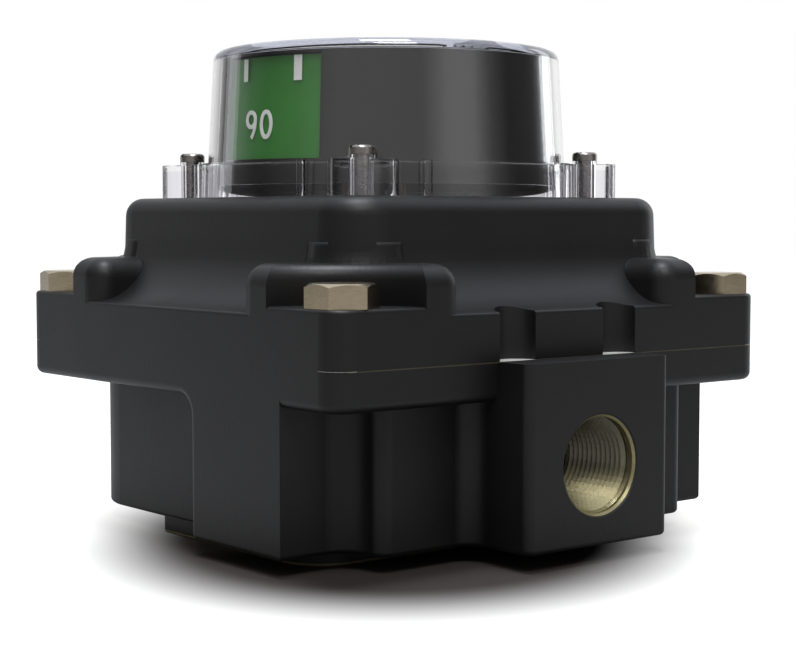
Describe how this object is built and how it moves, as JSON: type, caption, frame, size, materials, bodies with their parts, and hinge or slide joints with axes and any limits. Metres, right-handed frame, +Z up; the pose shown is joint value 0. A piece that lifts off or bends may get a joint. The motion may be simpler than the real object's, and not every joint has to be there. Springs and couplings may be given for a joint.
{
  "type": "valve limit switch box",
  "caption": "Square cast valve limit switch box with ribbed base, conduit entries, corner-bolted cover and a clear dome over a rotating position indicator.",
  "frame": {"origin": "bottom of the mounting pad, on the shaft axis", "axes": "+Z up along the shaft axis, -Y out of the front conduit entry, +X to the right seen from the front"},
  "size_m": [0.1624, 0.187, 0.1459],
  "materials": {
    "black_epoxy_coat": "satin epoxy powder coat on cast aluminium",
    "seal_rubber": "matte",
    "stainless_steel": "bright rolled",
    "bronze": "turned",
    "zinc_plated_steel": "plated",
    "switch_body": "matte",
    "terminal_plastic": "matte",
    "lead_sheath": "matte",
    "plug_steel": "plated",
    "clear_polycarbonate": "clear gloss",
    "gloss_black": "gloss",
    "cam_plastic": "matte",
    "rotor_plastic": "matte",
    "green_sector": "satin",
    "red_sector": "satin"
  },
  "bodies": {
    "housing": {"base_housing": "black_epoxy_coat", "cover": "black_epoxy_coat", "cover_seal": "seal_rubber", "cover_bolts": "stainless_steel", "lower_bush": "bronze", "upper_bush": "bronze", "switch_plate": "zinc_plated_steel", "switch_plate_screws": "zinc_plated_steel", "open_switch": "switch_body", "closed_switch": "switch_body", "switch_screws": "zinc_plated_steel", "terminal_strip": "terminal_plastic", "terminal_screws": "zinc_plated_steel", "terminal_strip_screws": "zinc_plated_steel", "open_switch_lead": "lead_sheath", "closed_switch_lead": "lead_sheath", "inner_earth_screw": "zinc_plated_steel", "outer_earth_screw": "stainless_steel", "conduit_plug": "plug_steel", "dome": "clear_polycarbonate", "dome_seal": "seal_rubber", "dome_screws": "stainless_steel", "indicator_mask": "gloss_black"},
    "shaft": {"shaft": "stainless_steel", "shaft_clip": "zinc_plated_steel", "lower_shaft_seal": "seal_rubber", "upper_shaft_seal": "seal_rubber", "open_cam": "cam_plastic", "closed_cam": "cam_plastic", "open_target": "zinc_plated_steel", "closed_target": "zinc_plated_steel", "cam_set_screws": "zinc_plated_steel", "indicator_rotor": "rotor_plastic", "green_sectors": "green_sector", "red_sectors": "red_sector", "rotor_screw": "stainless_steel"}
  },
  "joints": [
    {"name": "shaft_turn", "type": "hinge", "parent": "housing", "child": "shaft", "pos_m": [0, 0, 0.05], "axis": [0, 0, -1], "range_deg": [0, 90]}
  ]
}
